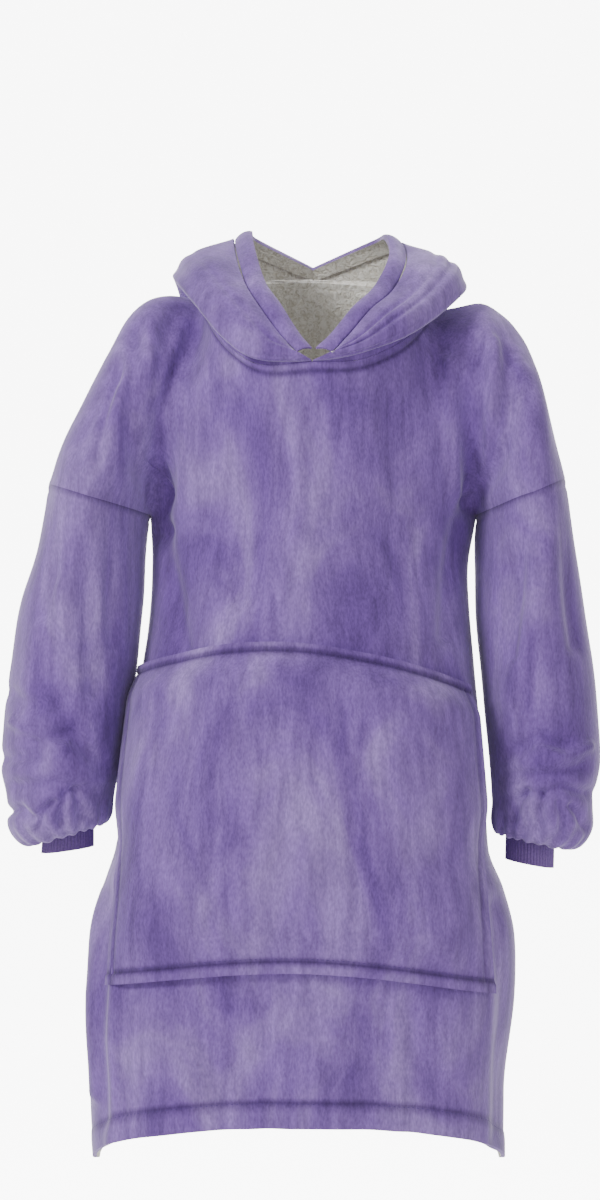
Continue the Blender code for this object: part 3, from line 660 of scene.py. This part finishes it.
def cloth(name, node, outer, inner, flat, closed=False, skins=None, painted_shade=None):
    """The piece that stands for a node. Faces join each grid cell's corners, outside and inside, and each rim's points
    to those below them; the last argument is the painted shade of each outer point along stitch lines."""
    rows, cols = outer.shape[:2]
    index = np.arange(rows * cols).reshape(rows, cols)
    if closed:
        index = np.concatenate([index, index[:, :1]], axis=1)
    a, b, c, d = index[:-1, :-1], index[:-1, 1:], index[1:, 1:], index[1:, :-1]
    skin = np.stack([a, b, c, d], axis=-1).reshape(-1, 4)
    inside = rows * cols
    faces = [skin, skin[:, ::-1] + inside]
    rims = [index[0, ::-1], index[-1]]
    if not closed:
        rims += [index[:, 0], index[::-1, -1]]
    for rim in rims:
        faces.append(np.stack([rim[:-1], rim[1:], rim[1:] + inside, rim[:-1] + inside], axis=-1))
    kinds = np.concatenate([np.full(len(f), k) for f, k in zip(faces, [0, 1] + [0] * len(rims))])
    points = np.concatenate([outer.reshape(-1, 3), inner.reshape(-1, 3)])
    faces = np.concatenate(faces)
    if np.sum(diagonals(points, skin) * (points[skin[:, 0]] - points[skin[:, 0] + inside])) < 0:
        faces = faces[:, ::-1]
    mesh = bpy.data.meshes.new(name)
    mesh.from_pydata(points.tolist(), [], faces.tolist())
    for kind in skins or (PLUSH, SHERPA):
        mesh.materials.append(kind)
    # The painted shade along the stitch lines goes on both skins as the `shade` attribute
    if painted_shade is not None:
        shade = mesh.attributes.new("shade", "FLOAT", "POINT")
        shade.data.foreach_set("value", np.tile(painted_shade.ravel(), 2).astype(np.float32))
    mesh.polygons.foreach_set("material_index", kinds.astype(np.int32))
    mesh.update()
    mesh.shade_smooth()
    mesh.set_sharp_from_angle(angle=math.radians(60))
    made = bpy.data.objects.new(name, mesh)
    bpy.context.scene.collection.objects.link(made)
    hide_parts(node)
    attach(made, "root")
    area = float(np.linalg.norm(diagonals(points, faces), axis=1).sum()) / 4
    print(name, "faces", len(faces), "cloth area", round(area, 3), "flat", flat)


def neck_steps():
    """Even steps over one half of the neckline, as shares of a panel's half width."""
    return np.linspace(0, NECK_SHARE, NECK_CELLS // 2 + 1)


def panel_steps():
    """The columns of a panel, from its left seam to its right one."""
    half = np.r_[neck_steps(), np.linspace(NECK_SHARE, 1, SHOULDER_CELLS + 1)[1:]]
    return np.r_[-half[:0:-1], half]


def lower_rows(back=False):
    """A panel's columns, the heights of its lower rows in even steps at each, and its hem's height there."""
    s = panel_steps()
    hem = hem_height(s, back)
    steps = np.linspace(0, 1, LOWER_ROWS + 1)[1:, None]
    return s, UNDERARM_Z + (hem - UNDERARM_Z) * steps, hem


def relief(inside, band, rise, groove=GROOVE):
    """A stitched band: raised from its edge to the line `band` inside it, less a bell-shaped groove at that line."""
    raised = rise * smooth((band - inside) / STEP)
    return raised - groove * np.exp(-(((inside - band) / GROOVE_REACH) ** 2))


def sewn(inside, band):
    """The shadow of a stitch line in the pile: a bell from 1 on the line to 0 well away from it."""
    return np.exp(-(((inside - band) / SHADOW_REACH) ** 2))


def panel_surface(folds, back=False):
    """A panel's outer points, its normals and its painted shade along stitch lines, folds and hem included."""
    s, lower, hem = lower_rows(back)
    t = np.linspace(0, 1, UPPER_ROWS + 1)
    grid = np.concatenate([upper_grid(s, t, back), lower_point(np.broadcast_to(s, lower.shape), lower, back)])
    sign = 1 if back else -1
    n = normals(grid) * sign
    ends = smooth((1 - np.abs(s)) / SEAM_FADE)[None] * smooth(np.arange(len(grid)) / TOP_FADE)[:, None]
    from_corner = np.hypot((1 - np.abs(s)) * CORNER_WIDTH, grid[..., 2] - UNDERARM_Z)
    ends = ends * smooth(from_corner / CORNER_CALM)
    grid = grid - n * (fold_depth(grid[..., 0], grid[..., 2], folds) * ends)[..., None]
    n = normals(grid) * sign
    edge = smooth((1 - np.abs(s)) / 0.04)[None]
    neck = np.abs(s) <= NECK_SHARE
    from_neck = np.linalg.norm(grid - grid[:1], axis=-1)
    stitched = np.where(neck[None], relief(from_neck, NECK_STITCH, NECK_RAISED), 0)
    stitched = stitched * smooth((NECK_SHARE - np.abs(s)) / 0.03)[None]
    hemmed = relief(grid[..., 2] - hem[None], HEM_BAND, HEM_RAISED)
    rise = (hemmed + unevenness(grid)) * edge + stitched
    grid = grid + n * rise[..., None]
    # Painted shade along the hem's stitch line, and a little less along the neckline's
    painted_shade = sewn(grid[..., 2] - hem[None], HEM_BAND)
    painted_shade = np.maximum(painted_shade, 0.8 * np.where(neck[None], sewn(from_neck, NECK_STITCH), 0))
    return s, grid, normals(grid) * sign, painted_shade


def build_panel(name, node, folds, flat, back=False):
    """The front or back as cloth, its seams lying as the solids' do."""
    s, grid, n, painted_shade = panel_surface(folds, back)
    apart = HALF_GAP * (1 if back else -1)
    across = np.array([0.0, 1.0, 0.0])
    neck = np.abs(s) <= NECK_SHARE + 1e-9
    beside = np.abs(s) >= NECK_SHARE - 1e-9
    n[0, ~neck] = seam_normals(n[0], grid[0], across)[~neck]
    away = grid[0, neck] - NECK_MIDDLE
    n[0, neck] = seam_normals(away, grid[0, neck], np.array([0.0, 0.0, 1.0]))
    grid[0, beside] += across * apart
    grid[0, neck, 2] -= HALF_GAP
    for side, edge in ((-1, 0), (1, -1)):
        axis = arm_axis(side)
        top, rest = slice(0, UPPER_ROWS + 1), slice(UPPER_ROWS + 1, None)
        n[top, edge] = seam_normals(n[top, edge], grid[top, edge], axis)
        n[rest, edge] = seam_normals(n[rest, edge], grid[rest, edge], across)
        n[UPPER_ROWS, edge] = (0, 0, -1)
        grid[top, edge] += axis * SEAM_LAP
        grid[:, edge] += across * apart
    n[0, beside, 1] = 0
    n[0, beside] = unit(n[0, beside])
    cloth(name, node, grid, grid - n * WALL, flat, painted_shade=painted_shade)


build_panel("cloth_front", "front", both(FRONT_FOLDS, FRONT_FINE), (0.66, 0.86))
build_panel("cloth_back", "back", both(BACK_FOLDS, BACK_FINE), (0.66, 0.9), back=True)

# %% [markdown]
# The sleeves are rings along the arm. Fine pleats and a sunk seam are added to the solids' form.

# %% Sleeves


def build_sleeve(name, node, sleeve, folds, side):
    """A sleeve as cloth, gathered in fine pleats where it turns up into the cuff."""
    sections = columns(sleeve, *SLEEVE_COLUMNS.split())
    rows = np.linspace(0, len(sections) - 1, (len(sections) - 1) * SLEEVE_STEPS + 1)
    theta = np.linspace(0, 2 * math.pi, 2 * UPPER_ROWS + 1)[:-1]
    shapes = through(rows, sections)
    point = 0.5 + 0.25 * (1 - smooth(rows / 3))
    grid = np.stack([ring(shape, theta, p) for shape, p in zip(shapes, point)])
    n = normals(grid, closed=True) * side
    calm = smooth(rows / 2)[:, None] * smooth((len(sections) - 1 - rows) / 3)[:, None]
    calm = calm * smooth((1 + np.cos(theta)) / 0.5)[None]
    deep = fold_depth(grid[..., 0], grid[..., 2], folds) * calm
    pleats = smooth((rows - PLEATS_START) / 1.6) * smooth((len(sections) - 1 - rows) / 0.8)
    wavy = np.sin(19 * theta + 1.3 * np.sin(3 * theta)) + 0.5 * np.sin(11 * theta + 2)
    seam = relief(rows * SECTION_STEP, 7 * MM, 0.3 * MM, 0.8 * MM) * smooth(rows / 0.04)
    loose = smooth(rows / 0.5)[:, None] * unevenness(grid)
    rise = -deep + PLEAT_DEPTH * pleats[:, None] * wavy[None] + seam[:, None] + loose
    grid = grid + n * rise[..., None]
    n = normals(grid, closed=True) * side
    looped = np.concatenate([grid[0, -1:], grid[0], grid[0, :1]])
    axis = arm_axis(side)
    turned = unit(np.cross(np.gradient(looped, axis=0)[1:-1], axis))
    n[0] = turned * np.sign(np.sum(turned * n[0], axis=-1, keepdims=True))
    grid[0] -= axis * SEAM_LAP
    thick = WALL * (1 - SLEEVE_THINNING * smooth((rows - len(sections) + 5) / 3))
    inner = grid - n * thick[:, None, None]
    # Painted shade along the armhole seam
    painted_shade = np.broadcast_to(sewn(rows * SECTION_STEP, 0.5 * MM)[:, None], grid.shape[:2])
    cloth(name, node, grid, inner, (0.42, 0.44), closed=True, painted_shade=painted_shade)


folds_left = both(SLEEVE_FOLDS_LEFT, SLEEVE_FINE_LEFT)
folds_right = both(SLEEVE_FOLDS_RIGHT, SLEEVE_FINE_RIGHT)
build_sleeve("cloth_sleeve_left", "sleeve_left", SLEEVE_LEFT, folds_left, -1)
build_sleeve("cloth_sleeve_right", "sleeve_right", SLEEVE_RIGHT, folds_right, 1)

# %% [markdown]
# The cuffs' ribs are round in section, with narrow grooves between them.

# %% Cuffs


def build_cuff(name, node, cuff, side):
    """A cuff: rings of the solid's sections, raised by the square root of a sine so that each rib is round."""
    sections = through(np.linspace(0, 1, CUFF_ROWS + 1), columns(cuff, *CUFF_COLUMNS.split()))
    theta = np.linspace(0, 2 * math.pi, RIB_POINTS * RIBS + 1)[:-1]
    grid = np.stack([ring(section, theta) for section in sections])
    n = normals(grid, closed=True) * side
    plain = grid - n * (CUFF_INSET + RIB_HEIGHT)
    rib = RIB_HEIGHT * np.sqrt(np.abs(np.sin(RIBS * theta / 2)))[None, :, None]
    inner = plain - n * CUFF_WALL
    cloth(name, node, plain + n * rib, inner, (0.15, 0.045), True, (RIB, RIB))


build_cuff("cloth_cuff_left", "cuff_left", CUFF_LEFT, -1)
build_cuff("cloth_cuff_right", "cuff_right", CUFF_RIGHT, 1)

# %% [markdown]
# The hood lies back in a roll round the neck, with the curly lining showing inside it and a folded band along
# its edge.

# %% Hood
# Each crease: where across the roll, how it drifts per section, how deep in mm, how wide
HOOD_CREASES = {
    -1: [(0.42, 0.03, 1.2, 0.05), (0.8, -0.015, 1.0, 0.04)],
    1: [(0.62, 0.02, 2.4, 0.035), (0.78, 0.01, 1.8, 0.03), (0.36, 0.04, 1.2, 0.05)],
}


def hood_point(q, v, side):
    """The hood's surface: q runs round the neck; v from the neck seam, up a narrow strip, then round the roll as
    half a blunt oval to the band's groove."""
    hood = HOOD_LEFT if side < 0 else HOOD_RIGHT
    seam = through(q, columns(hood, "seam_x", "seam_y", "seam_z"))
    roll = through(q, columns(hood, "roll_x", "roll_y", "roll_z"))
    groove = through(q, columns(hood, "groove_x", "groove_y", "groove_z"))
    tall = HOOD_STAND * smooth(q / 1.5) * (1 - 0.6 * smooth((q - 3) / 2))
    away = unit((seam - NECK_MIDDLE) * np.array([1.0, 1.0, 0.0]))
    back = 0.8 * smooth((q - 3) / 1.5)[:, None]
    start = seam + tall[:, None] * (away * back + np.array([0.0, 0.0, 1.0]) * (1 - back))
    if v < HOOD_STRIP:
        return seam + (start - seam) * v / HOOD_STRIP
    turn = math.pi * (v - HOOD_STRIP) / (1 - HOOD_STRIP)
    along = math.copysign(abs(math.cos(turn)) ** 0.75, math.cos(turn))
    middle = (start + groove) / 2
    lift = HOOD_LIFT * smooth(q - 3)[:, None] * max(math.sin(2 * turn), 0) * np.array([0.0, 0.0, 1.0])
    return middle - along * (groove - start) / 2 + max(math.sin(turn), 0) ** 0.9 * (roll - middle) + lift


def groove_normals(q, side):
    """Normals along the groove, square to it and to the band, facing away from the neck, and the band's slope."""
    hood = HOOD_LEFT if side < 0 else HOOD_RIGHT
    groove = through(q, columns(hood, "groove_x", "groove_y", "groove_z"))
    band = unit(through(q, columns(hood, "edge_x", "edge_y", "edge_z")) - groove)
    away = groove - np.array([14, 0, -60]) * MM
    return seam_normals(away, groove, band), band


def band_point(q, v, side):
    """The band's surface, from the groove, v = 0, to the hood's edge, v = 1, a little rounded."""
    hood = HOOD_LEFT if side < 0 else HOOD_RIGHT
    groove = through(q, columns(hood, "groove_x", "groove_y", "groove_z"))
    edge = through(q, columns(hood, "edge_x", "edge_y", "edge_z"))
    swell = np.array([0, -0.5, 0.8]) * BAND_SWELL * math.sin(math.pi * v)
    return groove + (edge - groove) * v + swell


def hood_steps():
    """The hood's columns: those of the front neckline, then those of the back one."""
    near = neck_steps() / NECK_SHARE * NECK_SIDE
    rest = NECK_BACK + (NECK_SIDE - NECK_BACK) * neck_steps()[::-1] / NECK_SHARE
    return np.r_[near, rest[1:]]


def outward(grid, hollow):
    """Normals of a grid, all turned to the side that faces away from the points of its hollow."""
    n = normals(grid)
    return n * np.sign(np.sum(n * (grid - hollow)))


def thinning(q):
    """The share of the cloth's thickness: it tapers to the point where both sides meet in front."""
    return 0.35 + 0.65 * smooth(q / 1.2)


def build_hood(name, node, side):
    """One half of the hood. Each crease is a bell-shaped trough across the roll, drifting as it goes round."""
    q = hood_steps()
    v = np.linspace(0, 1, HOOD_ROWS + 1)
    grid = np.stack([hood_point(q, share, side) for share in v])
    n = outward(grid, (grid[:1] + grid[-1:]) / 2)
    across, along = v[:, None], q[None]
    creases = np.zeros(grid.shape[:2])
    for place, drift, deep, wide in HOOD_CREASES[side]:
        creases += deep * MM * np.exp(-(((across - place - drift * along) / wide) ** 2))
    creases *= smooth(along / 0.9) * smooth((6.6 - along) / 1.5)
    grid = grid - n * (creases - unevenness(grid) * smooth(along))[..., None]
    n = outward(grid, (grid[:1] + grid[-1:]) / 2)
    n[:, -1] = seam_normals(n[:, -1], grid[:, -1], np.array([1.0, 0.0, 0.0]))
    n[0] = seam_normals(grid[0] - NECK_MIDDLE, grid[0], np.array([0.0, 0.0, 1.0]))
    n[-1] = groove_normals(q, side)[0]
    clear = HOOD_CLEAR * smooth(v / 0.06)[:, None]
    grid[..., 2] += clear
    grid[..., 0] += side * clear
    pressed = 1 - 0.45 * np.sin(np.linspace(0, math.pi, len(grid)))[:, None] ** 4
    thick = HOOD_WALL * pressed * thinning(q)
    ends = smooth(along / 1.5) * smooth(across / 0.1) * smooth((1 - across) / 0.05)
    tuft = curls(grid) * 0.8 * ends
    inner = grid - n * (thick + tuft)[..., None]
    cloth(name, node, grid, inner, (0.36, 0.3))


build_hood("cloth_hood_left", "hood_left", -1)
build_hood("cloth_hood_right", "hood_right", 1)


def build_band(name, node):
    """The folded band round the hood's opening, puffed between its groove and its edge."""
    q = hood_steps()
    rows = []
    for v in np.linspace(0, 1, BAND_ROWS + 1):
        rows.append(np.concatenate([band_point(q, v, -1), band_point(q[-2::-1], v, 1)]))
    grid = np.stack(rows)
    first, band_left = groove_normals(q, -1)
    second, band_right = groove_normals(q, 1)
    n = normals(grid)
    n *= np.sign(np.sum(n[0, : len(q)] * first))
    n[0] = np.concatenate([first, second[-2::-1]])
    thin = np.r_[thinning(q), thinning(q)[-2::-1]]
    grid += np.concatenate([band_left, band_right[-2::-1]]) * BAND_CLEAR
    grid[..., 2] += BAND_CLEAR
    v = np.linspace(0, 1, BAND_ROWS + 1)[:, None]
    rounded = PUFF * (np.sin(math.pi * v) ** 0.6 - 0.6)
    inner = grid - n * (BAND_WALL * thin)[None, :, None]
    grid = grid + n * (rounded * thin)[..., None]
    cloth(name, node, grid, inner, (0.03, 0.62))


build_band("cloth_hood_band", "hood_band")

# %% [markdown]
# The pocket is made from the front's own points, moved out. A sewn ridge tops it, and a turned hem ends it.

# %% Pocket
POCKET_FOLDS = table(
    FOLD_COLUMNS,
    [
        (-130, -420, -128, -500, -140, -600, 2.2, 16),
        (120, -430, 126, -520, 130, -620, 2.2, 16),
        (-40, -400, -46, -500, -40, -620, 1.4, 24),
        (60, -390, 66, -500, 58, -610, 1.4, 24),
    ],
)


def share_at(x, z):
    """The share of the body's width at a place, the inverse of the spacing in lower_point."""
    left, right = at_height(z, "left"), at_height(z, "right")
    return np.arcsin(np.clip((x - (left + right) / 2) / ((right - left) / 2), -1, 1)) * 2 / math.pi


def pocket_surface():
    """The pocket's outer points, normals, inner points and painted shade along its stitch lines: the front's points
    moved out by the pocket's room, which falls to nothing at its sewn edges, plus its ridge, hems and soft folds."""
    p = np.linspace(-1, 1, POCKET_COLUMNS + 1)
    top, bottom = through(p + 1, POCKET["top_z"]), through(p + 1, POCKET["bottom_z"])
    z = np.linspace(top, bottom, POCKET_ROWS + 1)
    down = (top - z) / (top - bottom)
    x_left = POCKET["top_x"][0] + (POCKET["bottom_x"][0] - POCKET["top_x"][0]) * down[:, :1]
    x_right = POCKET["top_x"][2] + (POCKET["bottom_x"][2] - POCKET["top_x"][2]) * down[:, -1:]
    s_left, s_right = share_at(x_left, z[:, :1]), share_at(x_right, z[:, -1:])
    s = s_left + (s_right - s_left) * (p + 1) / 2
    base = lower_point(s, z)
    n = -normals(base)
    folded = fold_depth(base[..., 0], base[..., 2], FRONT_FOLDS) * smooth((1 - np.abs(s)) / SEAM_FADE)
    base = base - n * folded[..., None]
    mouth = smooth((z - POCKET_SIDE_MOUTH) / 0.05) * 0.55
    across = mouth + (1 - mouth) * smooth((1 - np.abs(p)) / 0.35)
    room = POCKET_ROOM * across * smooth(down / 0.12) * smooth((1 - down) / 0.2)
    height, side = top - z, (1 - np.abs(p)) * POCKET_SIDE
    rise = relief(height, POCKET_RIDGE, POCKET_RAISED) + relief(z - bottom, POCKET_HEM, POCKET_RAISED)
    sides = relief(side, POCKET_HEM, NECK_RAISED)
    rise = rise + sides * smooth(height / 0.01) * smooth((z - bottom) / 0.01)
    waves = fold_depth(base[..., 0], base[..., 2], POCKET_FOLDS) - unevenness(base)
    calm = smooth((1 - np.abs(p)) / 0.1) * smooth(down / 0.06) * smooth((1 - down) / 0.06)
    outer = base + n * (POCKET_LAY + WALL + room + rise - waves * calm)[..., None]
    inner = base + n * (POCKET_LAY + room - np.minimum(waves, 0) * calm)[..., None]
    # Painted shade along the pocket's ridge, hem and sides
    painted_shade = np.maximum(sewn(height, POCKET_RIDGE), sewn(z - bottom, POCKET_HEM))
    painted_shade = np.maximum(painted_shade, 0.6 * sewn(side, POCKET_HEM) * smooth(height / 0.01))
    return outer, n, inner, painted_shade


outer, _, inner, painted_shade = pocket_surface()
cloth("cloth_pocket", "pocket", outer, inner, (0.45, 0.33), painted_shade=painted_shade)

# %% [markdown]
# Stitches: short dashes of thread that follow the stitch lines of the hem and the pocket.

# %% Stitches


def dashes(path, normal):
    """Dashes along a path, one for each pitch: each a spindle with a point at both ends and four round its middle."""
    radius = STITCH_RADIUS
    steps = np.r_[0, np.cumsum(np.linalg.norm(np.diff(path, axis=0), axis=1))]
    at = np.arange(STITCH_PITCH, steps[-1] - STITCH_PITCH, STITCH_PITCH)
    centre = np.stack([np.interp(at, steps, path[:, k]) for k in range(3)], axis=-1)
    ahead = np.stack([np.interp(at + 0.1 * STITCH_PITCH, steps, path[:, k]) for k in range(3)], axis=-1)
    up = unit(np.stack([np.interp(at, steps, normal[:, k]) for k in range(3)], axis=-1))
    tangent = unit(ahead - centre)
    side = np.cross(tangent, up)
    waist = [centre + radius * up, centre + radius * side, centre - radius * up, centre - radius * side]
    half = tangent * STITCH_LENGTH / 2
    points = np.stack([centre - half, *waist, centre + half], axis=1)
    near, far = [(0, 2, 1), (0, 3, 2), (0, 4, 3), (0, 1, 4)], [(5, 1, 2), (5, 2, 3), (5, 3, 4), (5, 4, 1)]
    shape = np.array(near + far)
    faces = (np.arange(len(at)) * 6)[:, None, None] + shape
    return points.reshape(-1, 3), faces.reshape(-1, 3)


def stitch_lines():
    """The stitch lines as paths with normals: a height between two of each panel's rows, then two pocket rows."""
    lines = []
    panels = ((both(FRONT_FOLDS, FRONT_FINE), False), (both(BACK_FOLDS, BACK_FINE), True))
    for folds, is_back in panels:
        s, grid, normal, _ = panel_surface(folds, is_back)
        hem = hem_height(s, is_back) + HEM_BAND
        inside = np.abs(s) < 0.985
        share = (UNDERARM_Z - hem) / (UNDERARM_Z - hem_height(s, is_back)) * LOWER_ROWS + UPPER_ROWS
        low = np.floor(share).astype(int)
        part = (share - low)[:, None]
        cols = np.arange(len(s))
        line = grid[low, cols] * (1 - part) + grid[low + 1, cols] * part
        lines.append((line[inside], normal[low, cols][inside]))
    outer, n, _, _ = pocket_surface()
    for row in (int(POCKET_ROWS * 0.025) + 1, int(POCKET_ROWS * 0.962)):
        lines.append((outer[row, 2:-2], n[row, 2:-2]))
    return lines


sets = [dashes(*line) for line in stitch_lines()]
starts = np.cumsum([0] + [len(points) for points, _ in sets])[:-1]
mesh = bpy.data.meshes.new("stitches")
mesh.from_pydata(
    np.concatenate([points for points, _ in sets]).tolist(),
    [],
    np.concatenate([faces + start for (_, faces), start in zip(sets, starts)]).tolist(),
)
mesh.materials.append(THREAD)
stitches = bpy.data.objects.new("stitches", mesh)
bpy.context.scene.collection.objects.link(stitches)
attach(stitches, "root")
print("stitches", len(mesh.polygons), "faces")

# %% [markdown]
# A pale floor, a lit pale wall behind, and wide soft lamps as in a studio. The camera stands level, so that a
# pixel of the photo is 1.02 mm at the garment's middle.

# %% Stage, light and camera
FLOOR_Z, CAMERA_Z, CAMERA_AWAY = -1.37, -0.306, 3.2
FRAME_HEIGHT, SENSOR = 1.224, 36.0  # what the camera sees at y = 0, in metres; its sensor, in millimetres
FLOOR_SIZE, WALL_SIZE, WALL_Y, WALL_GLOW = 14, 2.1, 2.0, 8.0
WORLD_LIGHT = 0.5


def plane(name, size, place, turn, glow=0.0):
    """A square of the pale stage, lit from within where it glows."""
    corners = [(x * size / 2, y * size / 2, 0) for x, y in ((-1, -1), (1, -1), (1, 1), (-1, 1))]
    made = bpy.data.meshes.new(name)
    made.from_pydata(corners, [], [(0, 1, 2, 3)])
    surface, shader = principled(name, 0.9)
    shader.inputs["Base Color"].default_value = PALE
    shader.inputs["Emission Color"].default_value = PALE
    shader.inputs["Emission Strength"].default_value = glow
    made.materials.append(surface)
    plate = bpy.data.objects.new(name, made)
    plate.location, plate.rotation_euler = place, turn
    bpy.context.scene.collection.objects.link(plate)


def lamp(name, place, size, power):
    """A soft square lamp turned to the garment's middle."""
    light = bpy.data.lights.new(name, "AREA")
    light.size, light.energy = size, power
    made = bpy.data.objects.new(name, light)
    made.location = place
    away = np.array([0, 0, -0.4]) - np.array(place)
    turn = (math.atan2(math.hypot(away[0], away[1]), -away[2]), 0, math.atan2(-away[0], away[1]))
    made.rotation_euler = turn
    bpy.context.scene.collection.objects.link(made)


plane("floor", FLOOR_SIZE, (0, 0, FLOOR_Z), (0, 0, 0))
plane("backdrop", WALL_SIZE, (0, WALL_Y, CAMERA_Z), (math.pi / 2, 0, 0), WALL_GLOW)
lamp("key", (-2.4, -2.2, 1.7), 1.1, 120)
lamp("fill", (2.2, -2.8, 0.2), 2.0, 24)
lamp("top", (0.2, 0.6, 2.2), 1.6, 30)
world = bpy.data.worlds.new("studio")
world.use_nodes = True
world.node_tree.nodes["Background"].inputs["Color"].default_value = WHITE
world.node_tree.nodes["Background"].inputs["Strength"].default_value = WORLD_LIGHT
bpy.context.scene.world = world
camera_data = bpy.data.cameras.new("camera")
camera_data.sensor_width = SENSOR
camera_data.lens = SENSOR * CAMERA_AWAY / FRAME_HEIGHT
camera = bpy.data.objects.new("camera", camera_data)
camera.location = (0, -CAMERA_AWAY, CAMERA_Z)
camera.rotation_euler = (math.pi / 2, 0, 0)
bpy.context.scene.collection.objects.link(camera)
bpy.context.scene.camera = camera
